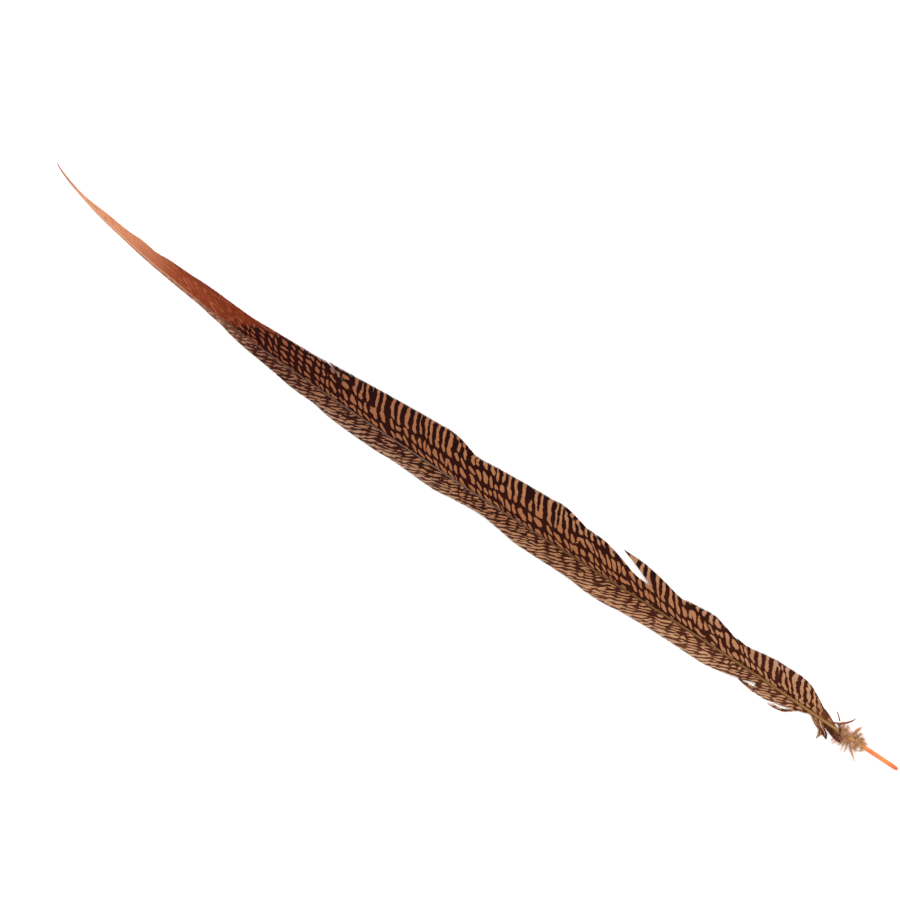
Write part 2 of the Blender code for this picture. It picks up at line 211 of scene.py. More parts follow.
NARROW_TUFTS = [
    ([(618, -1.2, 1.6), (615.5, -5.6, 2.4), (613.2, -10, 1)], 3, 0.5),
    ([(619.5, -1.2, 1.6), (617.6, -5.8, 2.6), (616.6, -8.6, 1)], 5, 0.7),
    ([(620.5, -1.2, 1.6), (620.4, -5.4, 2.8), (619.2, -9, 1)], 5, 0.7),
    ([(621.5, -1.2, 1.6), (622.2, -6.4, 2.4), (623.5, -12.4, 0.8)], 4, 0.3),
    ([(623.3, -1.2, 1.6), (624.6, -5.8, 2.6), (625.8, -11, 0.8)], 6, 0.35),
    ([(622.5, -1.2, 1.6), (622, -3.4, 2.6), (622.6, -6, 1.6)], 9, 0.9),
    ([(625, -1.2, 1.6), (627.6, -5.8, 2.6), (635, -10.8, 0.8)], 14, 0.35),
    ([(627, -1.2, 1.6), (628, -4, 2.4), (631.6, -4.3, 1.8), (635.6, -1.6, 1)], 5, 0.3)]
FILAMENT_SEGMENTS = 14
FILAMENT_WIDTH = 0.16
BARBULES_A_SIDE = 20
BARBULE_SEGMENTS = 3
BARBULE_LENGTH = 2.9
BARBULE_WIDTH = 0.06
FIRST_BARBULE = 0.12
DOWN_TAPER = 0.75
DOWN_CURL = 0.35
DOWN_FLOOR = 0.08
FILAMENT_FLOOR = 0.15
SHORT_TUFTS = 16
SHORT_TUFT_RANGE = (615.5, 632)

# Camera: straight above, turned so that the tip is at the upper left of the picture.
CAMERA_TURN = math.radians(35.8)
CAMERA_LENS = 100.0
CAMERA_SENSOR = 36.0
PICTURE_WIDTH = 571.2
PICTURE_CENTRE = (308.8, -1.8)


def smooth(points, x):
    """Values at x of a smooth curve through (x, value) points that never overshoots them."""
    px, py = np.array(points, float).T
    width = np.diff(px)
    rise = np.diff(py) / width
    slope = np.concatenate(([rise[0]], np.zeros(len(px) - 2), [rise[-1]]))
    for i in range(1, len(px) - 1):
        if rise[i - 1] * rise[i] > 0:
            slope[i] = 2 / (1 / rise[i - 1] + 1 / rise[i])
    x = np.clip(x, px[0], px[-1])
    i = np.clip(np.searchsorted(px, x, side="right") - 1, 0, len(px) - 2)
    t = (x - px[i]) / width[i]
    low = (1 + 2 * t) * (1 - t) ** 2 * py[i] + t * (1 - t) ** 2 * width[i] * slope[i]
    high = t * t * (3 - 2 * t) * py[i + 1] - t * t * (1 - t) * width[i] * slope[i + 1]
    return low + high


def line_points(line, v):
    """Points at v, which goes from 0 to 1, of a smooth line through evenly counted points."""
    knots = np.linspace(0, 1, len(line))
    return np.stack([smooth(list(zip(knots, track)), v) for track in zip(*line)], axis=-1)


def directions(paths):
    """Unit vectors along paths, an array of (path, point, place)."""
    ahead = np.gradient(paths, axis=1)
    return ahead / np.linalg.norm(ahead, axis=-1, keepdims=True)


def write_vectors(mesh, name, values):
    """Gives each of a mesh's points a vector that its material reads by that name."""
    layer = mesh.attributes.new(name, "FLOAT_VECTOR", "POINT")
    layer.data.foreach_set("vector", values.astype(np.float32).ravel())


def shaft_line():
    """The shaft's middle line as rows of arc length, x, y and heading."""
    x = np.linspace(0, SHAFT_BOW[-1][0], BOW_POINTS)
    y = smooth(SHAFT_BOW, x)
    arc = np.concatenate(([0], np.cumsum(np.hypot(np.diff(x), np.diff(y)))))
    return arc * SHAFT_LENGTH / arc[-1], x, y, np.arctan2(np.gradient(y), np.gradient(x))


ARC, LINE_X, LINE_Y, HEADING = shaft_line()


def lay_out(s, y, z):
    """Points in metres, with the feather's tip at the origin, from feather coordinates."""
    heading = np.interp(s, ARC, HEADING)
    px = np.interp(s, ARC, LINE_X) - y * np.sin(heading)
    py = np.interp(s, ARC, LINE_Y) + y * np.cos(heading)
    return np.stack(np.broadcast_arrays(px, py, z), axis=-1) * MM


def frame_shift():
    """From a frame with the feather's tip at its origin to the CAD model's frame."""
    s = np.linspace(0, SHAFT_LENGTH, OUTLINE_POINTS)
    half = smooth(SHAFT_HALF_WIDTH, s)
    edges = np.concatenate((lay_out(s, half, 0), lay_out(s, -half, 0)))
    shift = np.mean(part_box("shaft"), axis=0) - (edges.min(axis=0) + edges.max(axis=0)) / 2
    return shift * (1, 1, 0)


SHIFT = frame_shift()


def place(s, y, z):
    """Points of the model, in metres, from feather coordinates in millimetres."""
    return lay_out(s, y, z) + SHIFT


def shaft_depth(s):
    """Half the shaft's height at s."""
    squareness = np.clip((CALAMUS_START - s) / SQUARENESS_FADE, 0, 1)
    return smooth(SHAFT_HALF_WIDTH, s) * (1 + (RACHIS_DEPTH - 1) * squareness)


def shaft_middle(s):
    """Height of the shaft's middle line; its underside is cut off flat below it."""
    return smooth(SHAFT_LIFT, s) + shaft_depth(s) * FLAT_BELOW


def vane_height(s, y, side):
    """Height of a vane's web: it leaves the shaft near its top and droops to the surface."""
    reach = smooth(WIDE_REACH if side > 0 else NARROW_REACH, s)
    wave_length = WIDE_WAVE_LENGTH if side > 0 else NARROW_WAVE_LENGTH
    start = shaft_middle(s) + ROOT_RISE * shaft_depth(s)
    lifted = RIM_WAVE * (1 + np.sin(TURN * s / wave_length))
    rim = RIM_HEIGHT + (start - RIM_HEIGHT) * lifted
    across = np.minimum(1, y / reach) ** DROOP_POWER
    return start + (rim - start) * across


# ---- mesh from arrays of strips


def strip_corners(path, width, depth, tilt=0.0):
    """Four corners round each point of each strip: one edge, the ridge, the other edge, below.

    path is an array of (strip, point, (s, y, z)); width, depth and tilt are arrays of
    (strip, point) or numbers.
    """
    ahead = np.gradient(path[..., :2], axis=1)
    ahead /= np.maximum(np.linalg.norm(ahead, axis=-1, keepdims=True), 1e-6)
    width, depth, tilt = (np.broadcast_to(value, path.shape[:2]) for value in (width, depth, tilt))
    across = np.stack((-width / 2, 0 * width, width / 2, 0 * width), axis=-1)
    upward = np.stack((-tilt, depth / 2, tilt, -depth / 2), axis=-1)
    corners = np.repeat(path[:, :, None, :], 4, axis=2)
    corners[..., 0] -= across * ahead[..., 1, None]
    corners[..., 1] += across * ahead[..., 0, None]
    corners[..., 2] += upward
    return corners


def strip_faces(strips, points):
    """Vertex numbers of the four-sided faces of every strip: its sides, its start, its end."""
    i, j, k = np.meshgrid(np.arange(strips), np.arange(points - 1), np.arange(4), indexing="ij")
    after = (k + 1) % 4
    base = i * points * 4
    sides = np.stack((base + j * 4 + k, base + j * 4 + after,
                      base + (j + 1) * 4 + after, base + (j + 1) * 4 + k), axis=-1)
    first = np.arange(strips)[:, None] * points * 4
    start = first + np.array((3, 2, 1, 0))
    end = first + (points - 1) * 4 + np.array((0, 1, 2, 3))
    return sides, start, end


def bake_places(strips, points, rows):
    """Places in the unit square for every corner of every side face.

    Upper faces lie in the lower half of the square and under faces in the upper half. Each
    half is divided into rows; in a row, strips stand side by side.
    """
    per_row = math.ceil(strips / rows)
    i, j, k = np.meshgrid(np.arange(strips), np.arange(points - 1), np.arange(4), indexing="ij")
    column = i % per_row
    row = i // per_row + rows * (k >= 2)
    left = (column + 0.5 * (k % 2)) / per_row
    right = left + 0.5 / per_row
    used = 1 - 2 * BAKE_MARGIN
    low = (row + BAKE_MARGIN + used * j / (points - 1)) / (2 * rows)
    high = (row + BAKE_MARGIN + used * (j + 1) / (points - 1)) / (2 * rows)
    corners = ((left, low), (right, low), (right, high), (left, high))
    return np.stack([np.stack(corner, axis=-1) for corner in corners], axis=-2)


def mesh_from_faces(name, points, faces, places):
    """A mesh of four-sided faces with a bake map."""
    mesh = bpy.data.meshes.new(name)
    mesh.vertices.add(len(points))
    mesh.vertices.foreach_set("co", points.astype(np.float32).ravel())
    mesh.loops.add(faces.size)
    mesh.loops.foreach_set("vertex_index", faces.astype(np.int32).ravel())
    mesh.polygons.add(len(faces))
    mesh.polygons.foreach_set("loop_start", np.arange(0, faces.size, 4, dtype=np.int32))
    mesh.update(calc_edges=True)
    bake_map = mesh.uv_layers.new(name="OFBake")
    bake_map.data.foreach_set("uv", places.astype(np.float32).ravel())
    mesh.shade_smooth()
    return mesh


def add_piece(name, mesh, material, node):
    """A shown piece that moves with the feather and takes the place of a CAD node."""
    mesh.materials.append(material)
    piece = bpy.data.objects.new(name, mesh)
    bpy.context.scene.collection.objects.link(piece)
    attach(piece, "root")
    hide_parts(node)


def strip_mesh(name, groups):
    """Closed strips from groups of them, with what the materials read at each corner.

    A group is (corners, lie, tone, rows): lie is (s, y, share of the strip's length), as the
    strip grew, and tone is (chance of the strip, chance of its clump, 1 on the underside). Each
    group has its own band of the bake map, as high as its share of the groups.
    """
    spots, faces, places, lies, tones = [], [], [], [], []
    first = 0
    for number, (corners, lie, tone, rows) in enumerate(groups):
        strips, points = corners.shape[:2]
        sides, start, end = strip_faces(strips, points)
        group_places = bake_places(strips, points, rows)
        group_places[..., 1] = (number + group_places[..., 1]) / len(groups)
        caps = np.concatenate((group_places[:, 0, 0], group_places[:, -1, 0]))
        caps = caps.mean(axis=1, keepdims=True) + 0 * caps
        faces.append(first + np.concatenate((sides.reshape(-1, 4), start, end)))
        places.append(np.concatenate((group_places.reshape(-1, 4, 2), caps)))
        spots.append(place(corners[..., 0], corners[..., 1], corners[..., 2]).reshape(-1, 3))
        lies.append(np.broadcast_to(lie, corners.shape).reshape(-1, 3))
        tones.append(np.broadcast_to(tone, corners.shape).reshape(-1, 3))
        first += strips * points * 4
    mesh = mesh_from_faces(name, *(np.concatenate(part) for part in (spots, faces, places)))
    write_vectors(mesh, "lie", np.concatenate(lies))
    write_vectors(mesh, "tone", np.concatenate(tones))
    return mesh


def chances(corners, rng, clump=None):
    """The tone of each corner of each strip, with a chance of its own and one of its clump."""
    tone = np.zeros(corners.shape)
    tone[..., 0] = rng.random(len(corners))[:, None, None]
    tone[..., 1] = tone[..., 0] if clump is None else clump[:, None, None]
    tone[..., 2] = (0, 0, 0, 1)
    return tone


# ---- barbs


def taper(v, length):
    """Share of its width that a barb keeps at v, if it narrows over that length to its tip."""
    return np.clip((1 - v) / length, BLUNTNESS, 1) ** TAPER_CURVE


def clump_numbers(count, rng):
    """For each of count neighbouring barbs, the number of the clump that it keeps to."""
    sizes = rng.integers(*CLUMP_BARBS, size=count)
    return np.repeat(np.arange(count), sizes)[:count]


def web_path(guides, side, rng):
    """Barbs of a web as they grew, (barb, point, (s, y)), and the points' share of a barb."""
    count = round((guides[-1][0] - guides[0][0]) / BARB_SPACING)
    root = np.linspace(guides[0][0], guides[-1][0], count)
    tip_s = smooth([(guide[0], guide[1]) for guide in guides], root)
    tip_y = smooth([(guide[0], guide[2]) for guide in guides], root)
    length = np.maximum(root - tip_s, SHORTEST_JITTERED)
    reach = 1 + TIP_JITTER * rng.normal(size=count) / length
    tip_s = root + (tip_s - root) * reach
    tip_y = tip_y * reach
    v = np.linspace(0, 1, BARB_SEGMENTS + 1)
    root_y = np.maximum(smooth(SHAFT_HALF_WIDTH, root) - ROOT_DEPTH, 0)[:, None]
    s = root[:, None] + (tip_s - root)[:, None] * v
    y = root_y + (tip_y[:, None] - root_y) * (v + BARB_BOW * v * (1 - v))
    return np.stack((s, side * y), axis=-1), v


def disturb(name, bent, root, v):
    """Parts the barbs of a web and pushes some over others; returns how far each is lifted."""
    for at, opening, spread, sharpness in SPLITS.get(name, ()):
        away = np.exp(-np.abs(root - at) / spread) * np.where(root > at, 0.5, -0.5) * opening
        bent[..., 0] += away[:, None] * v ** sharpness
    lift = np.zeros(bent.shape[:2])
    for first, last, push, kept in FOLDS.get(name, ()):
        share = np.clip((root - first) / FOLD_FLANK, 0, 1)
        share *= np.clip((last - root) / (last - first), 0, 1)
        rise = share[:, None] * np.clip((v - kept) / (1 - kept), 0, 1) ** FOLD_CURVE
        bent[..., 0] -= push * rise
        lift += FOLD_LIFT * rise
    return lift


def web_lie(corners, grown, slip, v):
    """What a web's material reads: places as grown, each barb slipped along itself a little."""
    lie = np.zeros(corners.shape)
    lie[..., :2] = corners[..., :2] + (slip[:, None, None] * directions(grown))[:, :, None]
    lie[..., 2] = v[:, None]
    return lie


def add_web(name, guides, side, material, seed):
    """A web of separate barbs that shingle over each other, in place of a CAD web."""
    rng = np.random.default_rng((SEED, seed))
    grown, v = web_path(guides, side, rng)
    count = len(grown)
    clump = clump_numbers(count, rng)
    clump_lift = rng.uniform(-1, 1, count)[clump]
    clump_chance = rng.random(count)[clump]
    bent = grown.copy()
    root = grown[:, 0, 0]
    lift = disturb(name, bent, root, v)
    ahead = directions(bent)
    beside = np.gradient(bent, axis=0)
    gap = np.abs(beside[..., 0] * ahead[..., 1] - beside[..., 1] * ahead[..., 0])
    gap = np.minimum(gap, WIDEST_GAP * np.median(gap, axis=0))
    z = vane_height(bent[..., 0], np.abs(bent[..., 1]), side)
    z += CLUMP_LIFT * clump_lift[:, None] * v ** 2 + lift
    z = np.maximum(z, BARB_DEPTH / 2 + BARB_TILT)
    path = np.concatenate((bent, z[..., None]), axis=-1)
    depth = BARB_DEPTH * (1 - 0.5 * v)
    width = gap * BARB_OVERLAP
    corners = strip_corners(path, width * taper(v, TIP_TAPER), depth, side * BARB_TILT)
    slip = BARB_SLIP * rng.normal(size=count)
    as_grown = np.concatenate((grown, z[..., None]), axis=-1)
    lie = web_lie(strip_corners(as_grown, width, depth), grown, slip, v)
    mesh = strip_mesh(name, [(corners, lie, chances(corners, rng, clump_chance), WEB_ROWS)])
    add_piece(name + "_barbs", mesh, material, name)


def bundle_path(line, count, fray, notch, rng):
    """Barbs that cling together along a centre line of (s, y, z, width).

    Gives their path, (barb, point, (s, y, z)), and how far along and aside its points lie.
    """
    lane = np.linspace(-0.5, 0.5, count)
    end = 1 - notch * (1 - 2 * np.abs(lane)) - fray * rng.random(count)
    v = end[:, None] * np.linspace(0, 1, BUNDLE_SEGMENTS + 1)
    s, y, z, width = np.moveaxis(line_points(line, v), -1, 0)
    ahead, aside = np.gradient(s, axis=1), np.gradient(y, axis=1)
    length = np.hypot(ahead, aside)
    wave = fray * 1.5 * np.sin(TURN * (1.5 * v + rng.random((count, 1))))
    shift = (lane[:, None] + wave / count) * width
    lift = LOOSE_LIFT * rng.normal(size=(count, 1)) * v
    path = np.stack((s - shift * aside / length, y + shift * ahead / length, z + lift), axis=-1)
    along = np.cumsum(length, axis=1)
    return path, along, shift


def fan_path(edges, count, fray, notch, rng):
    """Barbs spread between two edges of (s, y, z), given as bundle_path gives them."""
    lane = np.linspace(0, 1, count)[:, None]
    end = 1 - notch * (1 - np.abs(2 * lane - 1)) - fray * rng.random((count, 1))
    v = end * np.linspace(0, 1, BUNDLE_SEGMENTS + 1)
    sides = [line_points(edge, v) for edge in edges]
    wave = fray * np.sin(TURN * (v + rng.random((count, 1))))
    across = (lane + wave / count)[..., None]
    path = sides[0] * (1 - across) + sides[1] * across
    path[..., 2] += LOOSE_LIFT * rng.normal(size=(count, 1)) * v
    steps = np.gradient(path, axis=1)
    width = np.linalg.norm(sides[1] - sides[0], axis=-1)
    along = np.cumsum(np.hypot(steps[..., 0], steps[..., 1]), axis=1)
    return path, FAN_STREAKS * along, (lane - 0.5) * width * 1.4


def bundle_lie(corners, root, along, shift, v):
    """What a loose piece's material reads: a slanting stretch of web, from s of the root on."""
    cosine, sine = math.cos(STREAK_LEAN), math.sin(STREAK_LEAN)
    lie = np.zeros(corners.shape)
    lie[..., 0] = (root - cosine * along + sine * shift)[..., None]
    lie[..., 1] = (STREAK_START - sine * along + cosine * shift)[..., None]
    lie[..., 2] = v[:, None]
    return lie


def add_bundle(name, lines, material, seed):
    """A strand of barbs, in place of the CAD strand of that name.

    lines is a list of (path function, centre line or edges, number of barbs, their width, fray,
    notch at the end).
    """
    rng = np.random.default_rng((SEED, seed))
    v = np.linspace(0, 1, BUNDLE_SEGMENTS + 1)
    groups = []
    for find_path, line, count, barb_width, fray, notch in lines:
        path, along, shift = find_path(line, count, fray, notch, rng)
        width = barb_width * taper(v, FAN_TAPER if find_path is fan_path else STRAND_TAPER)
        corners = strip_corners(path, width, BARB_DEPTH * (1 - 0.5 * v), BARB_TILT)
        lie = bundle_lie(corners, path[0, 0, 0], along, shift, v)
        groups.append((corners, lie, chances(corners, rng), 1))
    add_piece(name + "_strands", strip_mesh(name, groups), material, name)


def tuft_filaments(tuft, rng):
    """Filaments of a tuft: an array of (filament, point, (s, y, z))."""
    line, count, spread = tuft
    reach = rng.uniform(0.72, 1.03, (count, 1))
    v = reach * np.linspace(0, 1, FILAMENT_SEGMENTS + 1)
    path = line_points(line, v)
    sway = spread * rng.normal(size=(count, 1, 3)) * (1, 1, 0.5) * v[..., None] ** 1.3
    curl = DOWN_CURL * np.sin(TURN * (v[..., None] * 1.6 + rng.random((count, 1, 3))))
    path += sway + curl * v[..., None]
    path[..., 2] = np.maximum(path[..., 2], FILAMENT_FLOOR)
    return path


def barbules(filaments, rng):
    """Barbules on both sides of filaments: an array of (barbule, point, (s, y, z))."""
    picks = np.linspace(FIRST_BARBULE, 1, BARBULES_A_SIDE)
    place_on = picks * FILAMENT_SEGMENTS
    low = np.minimum(place_on.astype(int), FILAMENT_SEGMENTS - 1)
    share = (place_on - low)[:, None]
    origin = filaments[:, low] * (1 - share) + filaments[:, low + 1] * share
    ahead = filaments[:, low + 1] - filaments[:, low]
    ahead /= np.linalg.norm(ahead, axis=-1, keepdims=True)
    shape = origin.shape[:2]
    out = []
    for hand in (-1, 1):
        aside = np.stack((-ahead[..., 1], ahead[..., 0], 0 * ahead[..., 0]), axis=-1) * hand
        roll = rng.uniform(-1, 1, shape)[..., None]
        aside = aside * np.sqrt(1 - 0.7 * roll ** 2) + np.array((0, 0, 0.84)) * roll
        slant = rng.uniform(0.3, 1.3, shape)[..., None]
        length = BARBULE_LENGTH * (1 - 0.55 * picks) * rng.uniform(0.5, 1.2, shape)
        t = np.linspace(0, 1, BARBULE_SEGMENTS + 1)[:, None]
        bend = rng.uniform(-1.1, 0.9, shape)[..., None, None]
        start = aside[:, :, None] * np.sin(slant)[..., None] * (t - 0.35 * t * t)
        run = start + ahead[:, :, None] * (np.cos(slant)[..., None] * t + bend * t * t)
        out.append(origin[:, :, None] + run * length[..., None, None])
    paths = np.stack(out).reshape(-1, BARBULE_SEGMENTS + 1, 3)
    paths[..., 2] = np.maximum(paths[..., 2], DOWN_FLOOR)
    return paths


def short_tuft(root, side, rng):
    """A tuft of short down close to the shaft."""
    lean, reach = rng.uniform(-4, 3), rng.uniform(2, 5.5)
    top = rng.uniform(2.4, 3.4)
    line = [(root, side * 1.1, 1.8), (root + 0.5 * lean, side * reach * 0.6, top),
            (root + lean, side * reach, top - 1)]
    return line, 4, 1.3


def add_down(name, tufts, side, material, seed):
    """Soft down of fine filaments and barbules, in place of a CAD lobe."""
    rng = np.random.default_rng((SEED, seed))
    short_roots = np.linspace(*SHORT_TUFT_RANGE, SHORT_TUFTS)
    tufts = tufts + [short_tuft(root, side, rng) for root in short_roots]
    filaments = np.concatenate([tuft_filaments(tuft, rng) for tuft in tufts])
    fine = barbules(filaments, rng)
    groups = []
    for path, size, rows in ((filaments, FILAMENT_WIDTH, 1), (fine, BARBULE_WIDTH, 4)):
        v = np.linspace(0, 1, path.shape[1])
        thickness = size * (1 - DOWN_TAPER * v)
        corners = strip_corners(path, thickness, thickness)
        lie = corners.copy()
        lie[..., 2] = v[:, None]
        groups.append((corners, lie, chances(corners, rng), rows))
    add_piece(name + "_filaments", strip_mesh(name, groups), material, name)


# ---- materials


def linear(red, green, blue):
    """Linear colour from the eight-bit numbers of a colour picker."""
    shares = [value / 255 for value in (red, green, blue)]
    return tuple(c / 12.92 if c <= 0.04045 else ((c + 0.055) / 1.055) ** 2.4 for c in shares)


class Graph:
    """A material's nodes, added so that a pattern reads as a formula."""

    def __init__(self, name):
        self.material = bpy.data.materials.new(name)
        self.material.use_nodes = True
        self.tree = self.material.node_tree
        self.tree.nodes.clear()

    def node(self, kind, inputs, **settings):
        node = self.tree.nodes.new(kind)
        for key, value in settings.items():
            setattr(node, key, value)
        for key, value in inputs.items():
            self.feed(node.inputs[key], value)
        return node

    def feed(self, socket, value):
        if isinstance(value, bpy.types.NodeSocket):
            self.tree.links.new(value, socket)
        elif isinstance(value, tuple) and socket.type == "RGBA":
            socket.default_value = (*value, 1)
        else:
            socket.default_value = value

    def math(self, operation, *values):
        node = self.node("ShaderNodeMath", {}, operation=operation)
        for socket, value in zip(node.inputs, values):
            self.feed(socket, value)
        return node.outputs[0]

    def add(self, *values):
        total = values[0]
        for value in values[1:]:
            total = self.math("ADD", total, value)
        return total

    def times(self, *values):
        product = values[0]
        for value in values[1:]:
            product = self.math("MULTIPLY", product, value)
        return product

    def less(self, a, b):
        return self.math("SUBTRACT", a, b)

    def step(self, x, low, high, to_low=0.0, to_high=1.0):
        """A soft step from to_low to to_high as x goes from low to high."""
        values = {"Value": x, "From Min": low, "From Max": high, "To Min": to_low,
                  "To Max": to_high}
        return self.node("ShaderNodeMapRange", values, interpolation_type="SMOOTHSTEP").outputs[0]

    def vector(self, x, y, z=0.0):
        return self.node("ShaderNodeCombineXYZ", {"X": x, "Y": y, "Z": z}).outputs[0]

    def parts(self, vector):
        return self.node("ShaderNodeSeparateXYZ", {"Vector": vector}).outputs[:3]

    def attribute(self, name):
        return self.parts(self.node("ShaderNodeAttribute", {}, attribute_name=name).outputs[1])

    def noise(self, vector, scale, detail=2.0):
        values = {"Vector": vector, "Scale": scale, "Detail": detail}
        return self.node("ShaderNodeTexNoise", values).outputs[0]

    def wander(self, s, y, scale, size):
        """Two smooth random offsets of about size either way at most, and a random share."""
        values = {"Vector": self.vector(s, y), "Scale": scale, "Detail": 1.0}
        noise = self.node("ShaderNodeTexNoise", values)
        red, green, blue = self.parts(noise.outputs[1])
        return self.times(self.less(red, 0.5), size), self.times(self.less(green, 0.5), size), blue

    def mix(self, share, a, b, **settings):
        """A colour between two."""
        node = self.node("ShaderNodeMix", {0: share, 6: a, 7: b}, data_type="RGBA", **settings)
        return node.outputs[2]

    def blend(self, share, a, b):
        """A number between two."""
        return self.node("ShaderNodeMix", {0: share, 2: a, 3: b}, data_type="FLOAT").outputs[0]

    def shaded(self, colour, shade):
        """A colour times a shade of grey."""
        return self.mix(1.0, colour, self.vector(shade, shade, shade), blend_type="MULTIPLY")

    def ramp(self, s, stops):
        """Colour at s from (s, linear colour) stops."""
        node = self.node("ShaderNodeValToRGB", {"Fac": self.times(s, 1 / SHAFT_LENGTH)})
        stripe = node.color_ramp.elements
        while len(stripe) < len(stops):
            stripe.new(0.5)
        for element, (at, colour) in zip(stripe, stops):
            element.position = at / SHAFT_LENGTH
            element.color = (*colour, 1)
        return node.outputs[0]

    def colours_along(self, s, stops):
        """Colour at s from (s, eight-bit colour) stops."""
        return self.ramp(s, [(at, linear(*colour)) for at, colour in stops])

    def values_along(self, s, stops):
        """Value at s from (s, value) stops."""
        top = max(value for _, value in stops)
        grey = self.ramp(s, [(at, (value / top,) * 3) for at, value in stops])
        return self.times(self.parts(grey)[0], top)

    def finish(self, colour, roughness, height, bump, **sockets):
        """Closes the material with its colour, roughness and a bump of that depth in metres."""
        relief = self.node("ShaderNodeBump", {"Height": height, "Distance": bump})
        values = {"Base Color": colour, "Roughness": roughness, "Normal": relief.outputs[0]}
        shader = self.node("ShaderNodeBsdfPrincipled", values)
        for key, value in sockets.items():
            shader.inputs[key.replace("_", " ")].default_value = value
        self.node("ShaderNodeOutputMaterial", {"Surface": shader.outputs[0]})
        return self.material


# Colours, as eight-bit numbers. A table has a stop at each s where the colour visibly changes.
# Dark and light are the marks' two colours. Inner is beside the shaft, outer and rim are far
# from it. The narrow vane's rim colours are its marks' colours made paler and greyer by a
# painted sheen.
RUST_TIP = [
    (0, (170, 96, 72)), (30, (230, 166, 130)), (70, (202, 133, 98)), (105, (146, 67, 41)),
    (150, (120, 48, 25)), (210, (102, 46, 28))]
INNER_DARK = [(150, (40, 14, 12)), (400, (51, 20, 14)), (600, (68, 31, 21))]
INNER_LIGHT = [
    (150, (136, 68, 45)), (250, (157, 100, 67)), (450, (168, 110, 72)), (600, (190, 140, 104))]
OUTER_DARK = [(200, (34, 13, 10)), (500, (42, 16, 11)), (600, (84, 42, 30))]
OUTER_LIGHT = [
    (200, (146, 90, 66)), (330, (171, 115, 77)), (480, (179, 133, 98)), (600, (208, 174, 152))]
NARROW_DARK = [
    (40, (222, 160, 126)), (120, (158, 104, 80)), (170, (64, 32, 27)), (260, (48, 23, 18)),
    (440, (62, 28, 20)), (580, (86, 45, 29))]
NARROW_LIGHT = [
    (40, (230, 170, 138)), (130, (194, 146, 118)), (180, (146, 97, 74)), (440, (177, 125, 86)),
    (580, (198, 148, 112))]
# The narrow vane's marks near its rim, made paler and greyer by a painted sheen.
NARROW_RIM_SHEEN_DARK = [
    (120, (170, 116, 92)), (190, (80, 47, 38)), (420, (90, 52, 36)), (580, (120, 72, 50))]
NARROW_RIM_SHEEN_LIGHT = [
    (120, (214, 166, 138)), (200, (184, 148, 125)), (420, (188, 142, 106)),
    (580, (210, 170, 140))]
FRINGE = linear(112, 52, 32)
RUST_FLECK = linear(186, 110, 76)
RUST_RIM = linear(108, 38, 19)
DUSKY_BASE = linear(134, 78, 52)
BROWN_BARB = ((42, 19, 11), (90, 46, 27), (132, 70, 46))
RUSSET_BARB = ((118, 54, 34), (164, 88, 60), (208, 142, 114))
DOWN_BROWN = linear(150, 90, 52)
DOWN_TAN = linear(222, 166, 118)
DOWN_TIP = linear(228, 194, 162)

# The wide vane's marks. Bars: their period along the shaft, how far they run before they fork,
# and their slant. Rows of spots: the gap between them near the tip, and how they widen outwards
# further down.
BAR_PERIOD = 5.5
BAR_RUN = 14
BAR_SLANT = 0.42
BAR_LEAN = 4.5
YOUNG_ROWS = 3.0
ROW_GROWTH = 0.07
ROW_RATIO = 0.24
# The narrow vane's streaks: their angle to the shaft, their length, the gap between them, and
# where and how deeply they are cut into short ones.
STREAK_ANGLE = 19
STREAK_LENGTH = 5
STREAK_GAP = 2.1
CUT_LENGTH = 7.5
CUT_GAP = 5
CUT_DEPTH = 0.42
# Scales the marks' ripples so that the fringe between dark and light is as wide as it should be.
MARK_SCALE = 0.22


def turned(g, s, y, angle):
    """Distances along and across a direction, at that many degrees to the shaft."""
    cosine, sine = math.cos(math.radians(angle)), math.sin(math.radians(angle))
    along = g.less(g.times(s, cosine), g.times(y, sine))
    return along, g.add(g.times(s, sine), g.times(y, cosine))


def ripple_phase(g, p, q, scale, turn=0.0):
    """Phase of ripples about one unit apart, which fork and end here and there."""
    values = {"Vector": g.vector(p, q), "Scale": scale, "Frequency": 1 / scale,
              "Anisotropy": 1.0, "Orientation": turn}
    gabor = g.node("ShaderNodeTexGabor", values, gabor_type="2D")
    return g.times(gabor.outputs["Phase"], TURN)


def ripples(g, phase, cross_phase, spotted):
    """Bars, cut into spots in step with each other where spotted nears one."""
    crossing = g.add(g.math("COSINE", cross_phase), g.math("COSINE", g.add(phase, cross_phase)))
    return g.add(g.math("COSINE", phase), g.times(spotted, crossing))


# How far out from the shaft the wide vane has spots before they turn into bars, as (s, y).
SPOTS_REACH = [
    (190, 40), (222, 24), (240, 12), (262, 10), (290, 12), (317, 16), (342, 19), (358, 13),
    (375, 10), (395, 11), (412, 15), (435, 16), (462, 8), (480, 9), (496, 14), (528, 14),
    (548, 6), (585, 4)]
# Where barbs lie pushed towards the tip, as (s, half its length, extra lean of the bars).
SWEPT = [(330, 14, 2), (425, 24, 5), (480, 16, 2.5), (528, 26, 5)]


